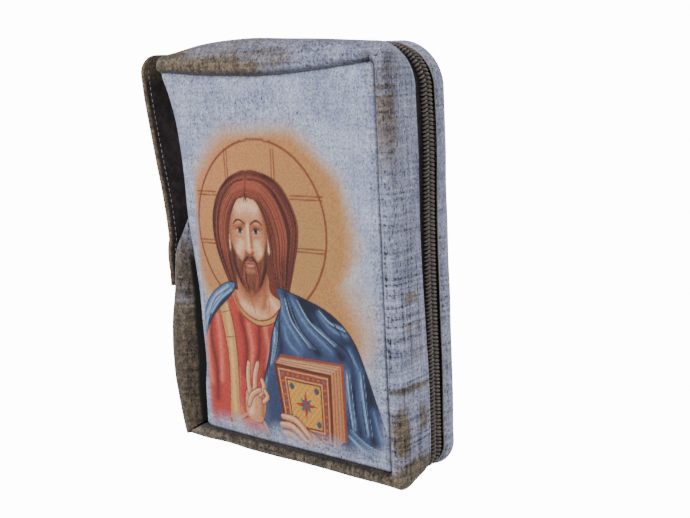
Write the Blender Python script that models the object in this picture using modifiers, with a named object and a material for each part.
"""Zip-around cover for a breviary, standing upright and closed.

Metres, +Z up. The printed front faces -Y, the spine is on the -X side and the base lies on z = 0.
Depths are counted from the front of the cover towards its back.
"""
import math

import bmesh
import bpy
from mathutils import Vector

# Driving dimensions
cover_width = 0.1475
cover_height = 0.190
cover_depth = 0.043
strap_loose = 0.0033

cloth = 0.0020
spine_cloth = 0.0016
strap_thick = 0.0030
tape_thick = 0.0008
clearance = 0.0003
mitre_gap = 0.0012

roll_width = 0.0074
front_half = 0.0222
zip_gap = 0.0125
chain_width = 0.0066
chain_thick = 0.0016
chain_crown = 0.0005
tape_under_hem = 0.0050
zip_corner = 0.0185
zip_corner_low = 0.0110
hem_inset = 0.0013

top_rise = 0.0060
top_droop = 0.0038
panel_recess = 0.0016
panel_dish = 0.0010
panel_wave = 0.00035
panel_fold = 0.0045
fold_reach = 0.0090
left_margin = 0.0220

spine_sink = 0.0150
spine_belly = 0.0040
spine_corner = 0.0080
back_margin = 0.0185
back_roll = 0.0066
back_recess = 0.0012

strap_width = 0.0220
strap_low_setback = 0.0058
strap_top_setback = 0.0023
strap_lowest = 0.0765
strap_skived_end = 0.35

slider_from_spine = 0.0220
slider_length = 0.0105
slider_width = 0.0086
slider_height = 0.0020
pull_length = 0.0200
pull_width = 0.0055
pull_thick = 0.0014

# Places that follow from them
strap_reach = strap_loose + strap_thick + clearance
right_x = (cover_width + strap_reach) / 2
left_x = right_x - cover_width
front_y = -cover_depth / 2
spine_end_x = left_x + spine_corner
join_x = spine_end_x + clearance + 0.5 * spine_cloth

# Top of the band along the cover, from the spine to the right-hand corner
# share of the width, share of the rise, share of the droop over the panel
TOP_SHAPE = (
    (0.00, 0.00, 0.00),
    (0.10, 0.32, 0.12),
    (0.22, 0.78, 0.52),
    (0.38, 0.98, 0.88),
    (0.54, 0.80, 1.00),
    (0.72, 0.52, 0.70),
    (0.88, 0.20, 0.25),
    (1.00, 0.00, 0.00),
)

# Edges of the zip opening up the right-hand side
# share of the height, front edge and back edge as shares of the front half and the zip gap,
# place of the chain between them
ZIP_LINE = (
    (0.00, 1.02, 0.94, 0.42),
    (0.12, 1.07, 0.94, 0.42),
    (0.26, 1.07, 0.98, 0.42),
    (0.45, 0.99, 0.96, 0.50),
    (0.60, 0.96, 0.98, 0.56),
    (0.78, 0.99, 1.08, 0.60),
    (0.90, 0.97, 1.04, 0.60),
    (1.00, 0.96, 1.00, 0.56),
)

# Section of the front band, from the panel's seam out to the zip
# depth as a share of the front half, inset as a share of the roll, corner radius as a share of
# the zip's corner, share of the top's rise, share of the top's droop, share of the mitre at
# the spine
FRONT_BAND = (
    (0.240, 1.00, 0.12, 0.00, 1.00, 1.00),
    (0.090, 0.94, 0.13, 0.00, 1.00, 0.94),
    (0.012, 0.66, 0.18, 0.06, 0.62, 0.66),
    (0.035, 0.32, 0.24, 0.24, 0.26, 0.32),
    (0.140, 0.07, 0.31, 0.52, 0.00, 0.07),
    (0.310, 0.00, 0.45, 0.86, 0.00, 0.00),
    (0.520, 0.00, 0.64, 1.00, 0.00, 0.00),
    (0.750, 0.00, 0.84, 0.95, 0.00, 0.00),
    (0.930, 0.05, 0.96, 0.82, 0.00, 0.00),
    (1.000, 0.18, 1.00, 0.72, 0.00, 0.00),
)

# Section of the back band, from the zip to the back panel's seam
# share of the back half's depth left to the back, inset as a share of the back roll,
# share of the top's rise, share of the mitre at the spine
BACK_BAND = (
    (1.00, 0.20, 0.68, 0.00),
    (0.84, 0.05, 0.62, 0.00),
    (0.52, 0.00, 0.50, 0.00),
    (0.16, 0.16, 0.28, 0.16),
    (0.00, 0.50, 0.12, 0.50),
    (0.30, 1.00, 0.00, 1.00),
)

# Left-hand edge of the front panel
# share of the height, share of the left margin, share of the fold back to the seam
PANEL_EDGE = (
    (0.00, 0.92, 0.55),
    (0.04, 0.93, 0.70),
    (0.15, 0.93, 0.95),
    (0.21, 1.00, 1.00),
    (0.33, 0.97, 1.00),
    (0.41, 0.95, 1.00),
    (0.52, 0.84, 1.00),
    (0.60, 0.75, 1.00),
    (0.70, 0.72, 1.00),
    (0.83, 0.66, 0.60),
    (0.90, 0.56, 0.30),
    (0.96, 0.41, 0.05),
    (1.00, 0.39, 0.00),
)

# Spine from the base to the top
# share of the height, share of the sink, share of the belly, fullness of the rolls
SPINE_SHAPE = (
    (0.00, 0.12, 0.00, 0.90),
    (0.06, 0.04, 0.20, 1.00),
    (0.18, -0.20, 0.40, 1.00),
    (0.30, -0.10, 0.25, 1.00),
    (0.40, 0.20, 0.05, 1.00),
    (0.50, 0.44, 0.80, 0.88),
    (0.56, 0.70, 0.70, 0.50),
    (0.62, 1.00, 0.40, 0.12),
    (0.70, 1.00, 0.00, 0.00),
    (0.82, 0.84, 0.00, 0.00),
    (0.90, 0.55, 0.00, 0.10),
    (0.96, 0.08, 0.00, 0.50),
    (1.00, 0.00, 0.00, 0.70),
)

# Section of the spine, from the front panel's seam round to the back panel's seam
# share of the cover's depth where the roll is full and where it is flat, share of the way in
# to the seam, inset of the top end as a share of the roll, side that the row belongs to
# (-1 front, 0 side, 1 back)
SPINE_BAND = (
    (0.190, 0.190, 1.00, 1.06, -1),
    (0.120, 0.220, 0.84, 1.00, -1),
    (0.055, 0.250, 0.66, 0.85, -1),
    (0.030, 0.280, 0.46, 0.60, -1),
    (0.050, 0.310, 0.26, 0.30, -1),
    (0.120, 0.340, 0.08, 0.07, -1),
    (0.230, 0.380, 0.00, 0.00, 0),
    (0.360, 0.450, 0.00, 0.00, 0),
    (0.500, 0.530, 0.00, 0.00, 0),
    (0.640, 0.640, 0.00, 0.00, 0),
    (0.780, 0.750, 0.00, 0.00, 0),
    (0.890, 0.830, 0.08, 0.00, 1),
    (0.970, 0.880, 0.28, 0.00, 1),
    (1.000, 0.920, 0.60, 0.00, 1),
    (0.940, 0.940, 1.00, 0.00, 1),
)

# Handle strap from its lower end up to the top corner
# share of the way up, distance of its inner face from the spine's side as a share of its looseness
STRAP_SHAPE = (
    (0.00, -1.60),
    (0.13, -1.58),
    (0.24, -1.52),
    (0.35, -1.36),
    (0.46, -1.02),
    (0.57, -0.50),
    (0.68, -0.02),
    (0.79, 0.45),
    (0.90, 0.85),
    (1.00, 1.00),
)


def along_table(table, share, column):
    """Value of one column at a share along the table: a smooth curve through its rows."""
    count = len(table)
    share = min(max(share, table[0][0]), table[-1][0])
    i = 0
    while i < count - 2 and share > table[i + 1][0]:
        i += 1
    x0, x1 = table[i][0], table[i + 1][0]
    y0, y1 = table[i][column], table[i + 1][column]
    step = (y1 - y0) / (x1 - x0)
    before = step
    after = step
    if i > 0:
        before = (y1 - table[i - 1][column]) / (x1 - table[i - 1][0])
    if i < count - 2:
        after = (table[i + 2][column] - y0) / (table[i + 2][0] - x0)
    t = (share - x0) / (x1 - x0)
    width = x1 - x0
    return (y0 * (2 * t**3 - 3 * t**2 + 1) + before * width * (t**3 - 2 * t**2 + t)
            + y1 * (3 * t**2 - 2 * t**3) + after * width * (t**3 - t**2))


def top_share(x):
    return (x - left_x) / cover_width


def top_lift(x, rise, droop):
    """Height that the stuffed top band gains or loses at x."""
    share = top_share(x)
    return (top_rise * rise * along_table(TOP_SHAPE, share, 1)
            - top_droop * droop * along_table(TOP_SHAPE, share, 2))


def zip_front(z):
    return front_half * along_table(ZIP_LINE, z / cover_height, 1)


def zip_back(z):
    return front_half + zip_gap * along_table(ZIP_LINE, z / cover_height, 2)


def chain_depth(z):
    place = along_table(ZIP_LINE, z / cover_height, 3)
    return zip_front(z) * (1 - place) + zip_back(z) * place


def panel_edge(z):
    return left_x + left_margin * along_table(PANEL_EDGE, z / cover_height, 1)


def spine_side(z, column=1):
    return along_table(SPINE_SHAPE, z / cover_height, column)


def spine_x(z, depth_share):
    """Outer face of the spine's side: sunk or proud with height, bellied at half depth."""
    belly = spine_belly * spine_side(z, 2) * math.sin(math.pi * depth_share)
    return left_x + spine_sink * spine_side(z, 1) - belly


# The path of the band: along the top, down the right-hand side and back under the base
band_steps = {"top": 14, "corner": 7, "side": 14}
band_count = 2 * (band_steps["top"] + band_steps["corner"]) + band_steps["side"]


def band_path(share, inset, radius, low_radius, top_end=join_x, low_end=join_x):
    """x and z at a share along the band's path, moved in by inset, with round corners."""
    station = share * band_count
    top, corner, side = band_steps["top"], band_steps["corner"], band_steps["side"]
    centre_x = right_x - inset - radius
    high_z = cover_height - inset - radius
    low_x = right_x - inset - low_radius
    low_z = inset + low_radius
    if station <= top:
        x = top_end + (centre_x - top_end) * station / top
        return x, cover_height - inset
    station -= top
    if station <= corner:
        angle = math.pi / 2 * (1 - station / corner)
        return centre_x + radius * math.cos(angle), high_z + radius * math.sin(angle)
    station -= corner
    if station <= side:
        return right_x - inset, high_z + (low_z - high_z) * station / side
    station -= side
    if station <= corner:
        angle = -math.pi / 2 * station / corner
        return low_x + low_radius * math.cos(angle), low_z + low_radius * math.sin(angle)
    station -= corner
    return low_x + (low_end - low_x) * station / top, inset


def top_weight(z, inset, radius):
    """1 on the top run of the band, falling to 0 round its corner."""
    reach = radius + 0.5 * zip_corner
    return min(max((z - (cover_height - inset - reach)) / reach, 0.0), 1.0) ** 2


def lifted(x, z, inset, radius, rise, droop):
    return z + top_weight(z, inset, radius) * top_lift(x, rise, droop)


# Sheets and solids
parts = bpy.data.collections.new("breviary_cover")
cutters = bpy.data.collections.new("cutters")


def clear_scene():
    for old in list(bpy.data.objects):
        bpy.data.objects.remove(old, do_unlink=True)
    bpy.context.scene.collection.children.link(parts)
    bpy.context.scene.collection.children.link(cutters)


def finish(name, colour, roughness, metallic=0.0):
    material = bpy.data.materials.new(name)
    material.use_nodes = True
    shader = material.node_tree.nodes["Principled BSDF"]
    shader.inputs["Base Color"].default_value = (*colour, 1.0)
    shader.inputs["Roughness"].default_value = roughness
    shader.inputs["Metallic"].default_value = metallic
    return material


def add_object(name, bm, material):
    mesh = bpy.data.meshes.new(name)
    bm.to_mesh(mesh)
    bm.free()
    mesh.materials.append(material)
    obj = bpy.data.objects.new(name, mesh)
    parts.objects.link(obj)
    mesh.shade_smooth()
    mesh.set_sharp_from_angle(angle=math.radians(50))
    return obj


def sheet(name, across, along, place, thickness, material, turned=True, taper=None):
    """An open sheet placed by a function of two shares, given its wall on the inner side.

    The faces of a sheet that runs back in depth are turned to point out of the cover.
    """
    bm = bmesh.new()
    bmesh.ops.create_grid(bm, x_segments=across, y_segments=along, size=0.5)
    shares = [(vert.co.x + 0.5, vert.co.y + 0.5) for vert in bm.verts]
    for vert, (u, v) in zip(bm.verts, shares):
        vert.co = place(u, v)
    if turned:
        bmesh.ops.reverse_faces(bm, faces=bm.faces)
    obj = add_object(name, bm, material)
    wall = obj.modifiers.new("wall", "SOLIDIFY")
    wall.thickness = thickness
    wall.offset = -1.0
    if taper:
        group = obj.vertex_groups.new(name="full_thickness")
        for index, (u, v) in enumerate(shares):
            group.add([index], taper(u, v), "REPLACE")
        wall.vertex_group = group.name
        wall.thickness_vertex_group = 0.0
    return obj


# Front band: one strip that forms the roll round the panel and the side up to the zip
def front_band_point(across, along):
    row = FRONT_BAND[round(across * (len(FRONT_BAND) - 1))]
    inset = roll_width * row[1]
    radius = zip_corner * row[2]
    low_end = join_x + (panel_edge(roll_width) - join_x) * row[5]
    x, z = band_path(along, inset, radius, zip_corner_low * row[2], low_end=low_end)
    depth = row[0] * zip_front(z)
    return Vector((x, front_y + depth, lifted(x, z, inset, radius, row[3], row[4])))


# Back band: a shallower strip between the zip and the back panel
def back_band_point(across, along):
    row = BACK_BAND[round(across * (len(BACK_BAND) - 1))]
    inset = back_roll * row[1]
    radius = zip_corner + hem_inset - inset
    end_x = join_x + (left_x + back_margin - join_x) * row[3]
    low_radius = zip_corner_low + hem_inset - inset
    x, z = band_path(along, inset, radius, low_radius, top_end=end_x, low_end=end_x)
    depth = cover_depth - (cover_depth - zip_back(z)) * row[0]
    return Vector((x, front_y + depth, lifted(x, z, inset, radius, row[2], 0.0)))


def eased(share, end_step):
    """Stations set closer at both ends: end_step is their spacing there, as a share of the mean."""
    return share - (1 - end_step) * math.sin(2 * math.pi * share) / (2 * math.pi)


def corner_pull(from_end, radius):
    """How far a round corner draws an edge in at a distance from the edge's end."""
    if from_end >= radius:
        return 0.0
    return radius - math.sqrt(radius**2 - (radius - from_end) ** 2)


# Front panel: a flat printed sheet, dished a little, its left edge folded back to the spine
wave_turns_up = 1.1
wave_turns_across = 0.8
close_ends = 0.2
close_sides = 0.5


def front_panel_point(across, along):
    seam = FRONT_BAND[0]
    inset = roll_width * seam[1] + clearance
    radius = zip_corner * seam[2] - clearance
    low_radius = zip_corner_low * seam[2] - clearance
    low = inset
    high = cover_height - inset
    share = eased(along, close_ends)
    z = low + (high - low) * share
    left = max(panel_edge(z), join_x + clearance)
    right = right_x - inset - corner_pull(high - z, radius) - corner_pull(z - low, low_radius)
    span = right - left
    across = eased(across, close_sides)
    x = left + span * across
    fold_share = along_table(PANEL_EDGE, z / cover_height, 2)
    fold = panel_fold * fold_share * max(0.0, 1 - span * across / fold_reach) ** 2
    dish = math.sin(math.pi * across) * math.sin(math.pi * share)
    slant = wave_turns_up * share + wave_turns_across * across
    wave = math.sin(2 * math.pi * slant) * math.sin(math.pi * across)
    depth = panel_recess + fold - panel_dish * dish - panel_wave * wave
    z = low + (high + top_lift(x, 0.0, seam[4]) - low) * share
    return Vector((x, front_y + depth, z))


# Back panel: a plain sheet with round corners on its free side
def back_panel_point(across, along):
    inset = back_roll + clearance
    low = inset
    high = cover_height - inset
    share = eased(along, close_ends)
    z = low + (high - low) * share
    radius = zip_corner + hem_inset - inset
    low_radius = zip_corner_low + hem_inset - inset
    right = right_x - inset - corner_pull(high - z, radius) - corner_pull(z - low, low_radius)
    left = left_x + back_margin + clearance
    x = left + (right - left) * across
    dome = math.sin(math.pi * across) * math.sin(math.pi * share)
    depth = cover_depth - back_recess + 0.6 * back_recess * dome
    return Vector((x, front_y + depth, z))


# Spine: a soft strip that sinks in behind the strap and bulges out below it
# seam_rows_from is the share of the way in to the seam past which the top end follows the droop
seam_rows_from = 0.4
spine_steps = {"corner": 4, "side": 24}
spine_count = 2 * spine_steps["corner"] + spine_steps["side"]


def spine_station(along):
    """Share of the height at a share along the spine, with close stations round its corners."""
    station = along * spine_count
    corner, side = spine_steps["corner"], spine_steps["side"]
    end_share = spine_corner / cover_height
    if station < corner:
        return end_share * (1 - math.cos(math.pi / 2 * station / corner))
    if station > corner + side:
        return 1 - end_share * (1 - math.cos(math.pi / 2 * (spine_count - station) / corner))
    return end_share + (1 - 2 * end_share) * (station - corner) / side


def spine_row_x(z, row, fullness):
    """x of a row of the spine: from its sunk or proud side in towards the seam."""
    x = spine_x(z, row[0])
    seam_x = panel_edge(z) - clearance
    if row[4] > 0:
        seam_x = left_x + back_margin - spine_cloth * (1 - fullness)
    return x + (seam_x - x) * row[2]


def mitre_inset(x, corner_x, roll):
    """How far in the spine's end stops so that it meets the mitred end of a band's roll."""
    share = (x - spine_end_x) / (corner_x - join_x)
    return (roll + clearance) * min(share, 1.0) + mitre_gap if share > 0 else 0.0


def spine_point(across, along):
    row = SPINE_BAND[round(across * (len(SPINE_BAND) - 1))]
    full, flat, inward, top_inset, edge = row
    low = high_inset = 0.0
    if edge < 0:
        low = mitre_inset(spine_row_x(roll_width, row, 1.0), panel_edge(roll_width), roll_width)
        high_inset = roll_width * top_inset
    elif edge > 0:
        low = mitre_inset(spine_row_x(back_roll, row, 1.0), left_x + back_margin, back_roll)
        high_inset = low
    share = spine_station(along)
    z = low + (cover_height - high_inset - low) * share
    fullness = spine_side(z, 3)
    depth_share = flat + (full - flat) * fullness
    x = spine_row_x(z, row, fullness)
    from_end = min(z, cover_height - z)
    x = max(x, left_x + corner_pull(from_end, spine_corner))
    if inward > seam_rows_from and edge < 0:
        z += share * top_lift(x, 0.0, 1.0)
    return Vector((x, front_y + cover_depth * depth_share, z))


# Zip: two tapes sewn under the hems, and the coil chain on them
tape_inset = hem_inset + cloth + 2 * clearance
chain_inset = tape_inset - clearance - chain_thick
zip_rise = FRONT_BAND[-1][3]


def zip_point(along, inset, depth_at):
    radius = zip_corner + hem_inset - inset
    x, z = band_path(along, inset, radius, zip_corner_low + hem_inset - inset)
    return Vector((x, front_y + depth_at(z), lifted(x, z, inset, radius, zip_rise, 0.0)))


def front_tape_point(across, along):
    def depth_at(z):
        outer = zip_front(z) - tape_under_hem
        return outer + (chain_depth(z) - clearance - outer) * across
    return zip_point(along, tape_inset, depth_at)


def back_tape_point(across, along):
    def depth_at(z):
        inner = chain_depth(z) + clearance
        outer = min(zip_back(z) + tape_under_hem, cover_depth - back_recess - 2 * cloth)
        return inner + (outer - inner) * across
    return zip_point(along, tape_inset, depth_at)


# across the chain: share of its width, share of its crown
CHAIN_SECTION = ((-0.50, 0.0), (-0.30, 1.0), (-0.06, 0.55), (0.06, 0.55), (0.30, 1.0), (0.50, 0.0))


def chain_point(across, along):
    row = CHAIN_SECTION[round(across * (len(CHAIN_SECTION) - 1))]

    def depth_at(z):
        return chain_depth(z) + chain_width * row[0]
    return zip_point(along, chain_inset - chain_crown * row[1], depth_at)


# Handle strap: sewn to the spine at its lower end and into the top corner
strap_end_angle = math.radians(78)
strap_arc_share = 0.16
strap_skived_from = 0.86


def strap_point(across, along):
    """The strap's outer face: up the spine, bowed away from it, then round the top corner."""
    centre_z = cover_height - spine_corner
    if along <= 1 - strap_arc_share:
        share = along / (1 - strap_arc_share)
        z = strap_lowest + (centre_z - strap_lowest) * share
        inner = left_x - clearance - strap_loose * along_table(STRAP_SHAPE, share, 1)
        inner = min(inner, spine_x(z, 0.5) - clearance)
        normal = Vector((-1.0, 0.0, 0.0))
    else:
        angle = strap_end_angle * (along - 1 + strap_arc_share) / strap_arc_share
        normal = Vector((-math.cos(angle), 0.0, math.sin(angle)))
        inner = spine_end_x + (spine_corner + clearance + strap_loose) * normal.x
        z = centre_z + (spine_corner + clearance) * normal.z
    setback = strap_low_setback + (strap_top_setback - strap_low_setback) * along
    depth = setback + strap_width * across
    return Vector((inner, front_y + depth, z)) + normal * strap_thick * strap_taper(across, along)


def strap_taper(across, along):
    skive = max(0.0, (along - strap_skived_from) / (1 - strap_skived_from))
    return 1 - (1 - strap_skived_end) * skive


# Slider: one plain piece, its body on the chain near the spine and its pull laid along it
def add_block(name, size, centre, material):
    bm = bmesh.new()
    bmesh.ops.create_cube(bm, size=1.0)
    for vert in bm.verts:
        vert.co = Vector(centre) + Vector([a * b for a, b in zip(vert.co, size)])
    return add_object(name, bm, material)


def make_slider(material):
    x = join_x + slider_from_spine
    near, far = top_share(x - pull_length), top_share(x + slider_length)
    lift = max(along_table(TOP_SHAPE, near, 1), along_table(TOP_SHAPE, far, 1))
    seat = cover_height - chain_inset + chain_crown + top_rise * zip_rise * lift + clearance
    y = front_y + chain_depth(cover_height)
    body = add_block("zip_slider", (slider_length, slider_width, slider_height),
                     (x, y, seat + slider_height / 2), material)
    pull = add_block("pull_shape", (pull_length, pull_width, pull_thick),
                     (x - pull_length / 2, y, seat + slider_height - pull_thick / 2), material)
    parts.objects.unlink(pull)
    cutters.objects.link(pull)
    pull.hide_render = True
    pull.display_type = "WIRE"
    union = body.modifiers.new("pull", "BOOLEAN")
    union.operation = "UNION"
    union.solver = "EXACT"
    union.object = pull


def build():
    clear_scene()
    printed = finish("printed_suede", (0.36, 0.37, 0.44), 0.9)
    band = finish("stained_suede", (0.22, 0.20, 0.19), 0.9)
    leather = finish("strap_leather", (0.07, 0.05, 0.045), 0.8)
    tape = finish("zip_tape", (0.03, 0.028, 0.026), 0.85)
    coil = finish("zip_coil", (0.11, 0.095, 0.085), 0.45)
    metal = finish("zip_metal", (0.35, 0.30, 0.24), 0.35, 1.0)

    sheet("front_panel", 18, 22, front_panel_point, cloth, printed, turned=False)
    sheet("front_band", len(FRONT_BAND) - 1, band_count, front_band_point, cloth, band)
    sheet("back_band", len(BACK_BAND) - 1, band_count, back_band_point, cloth, band)
    sheet("back_panel", 10, 20, back_panel_point, cloth, printed)
    sheet("spine", len(SPINE_BAND) - 1, spine_count, spine_point, spine_cloth, band)
    sheet("zip_tape_front", 1, band_count, front_tape_point, tape_thick, tape)
    sheet("zip_tape_back", 1, band_count, back_tape_point, tape_thick, tape)
    sheet("zip_chain", len(CHAIN_SECTION) - 1, band_count, chain_point, chain_thick, coil)
    sheet("handle_strap", 4, 36, strap_point, strap_thick, leather, taper=strap_taper)
    make_slider(metal)


build()
